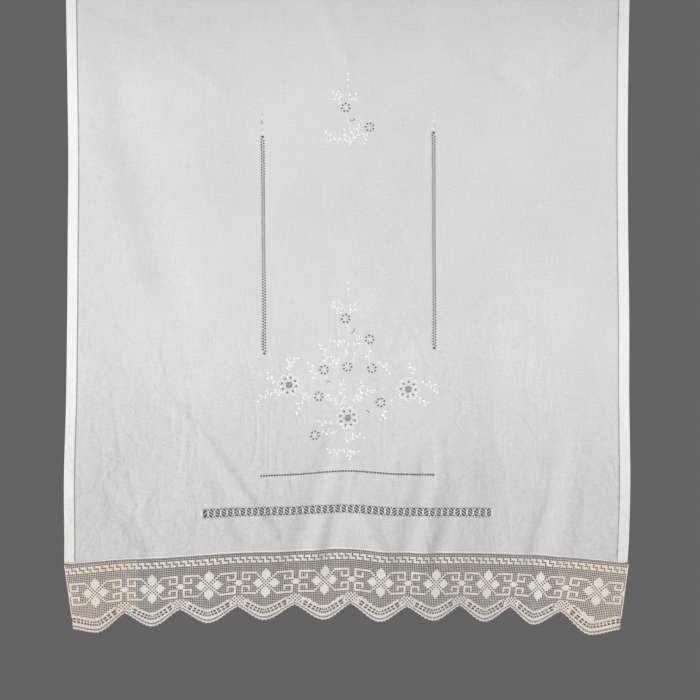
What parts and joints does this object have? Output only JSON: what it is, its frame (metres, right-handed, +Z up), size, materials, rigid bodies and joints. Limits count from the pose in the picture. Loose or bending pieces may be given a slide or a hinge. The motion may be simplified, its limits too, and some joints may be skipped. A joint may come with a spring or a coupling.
{
  "type": "rod pocket curtain",
  "caption": "Flat hanging curtain of thin white cloth with a rod pocket, drawn-thread openwork, whitework sprays and a scalloped crochet lace edging.",
  "frame": {"origin": "middle of the rod line, inside the pocket at the top edge", "axes": "+X along the rod to the right as seen from the room, +Y to the window behind, +Z up"},
  "size_m": [1.1321, 0.0277, 1.352],
  "materials": {
    "white_cloth": "thin plain-woven white cotton, slightly sheer, matt",
    "crochet_lace": "off-white filet crochet cotton, tanned at both ends"
  },
  "bodies": {
    "root": {"panel": "white_cloth", "rod_pocket": "white_cloth", "lace_edging": "crochet_lace"}
  },
  "joints": []
}
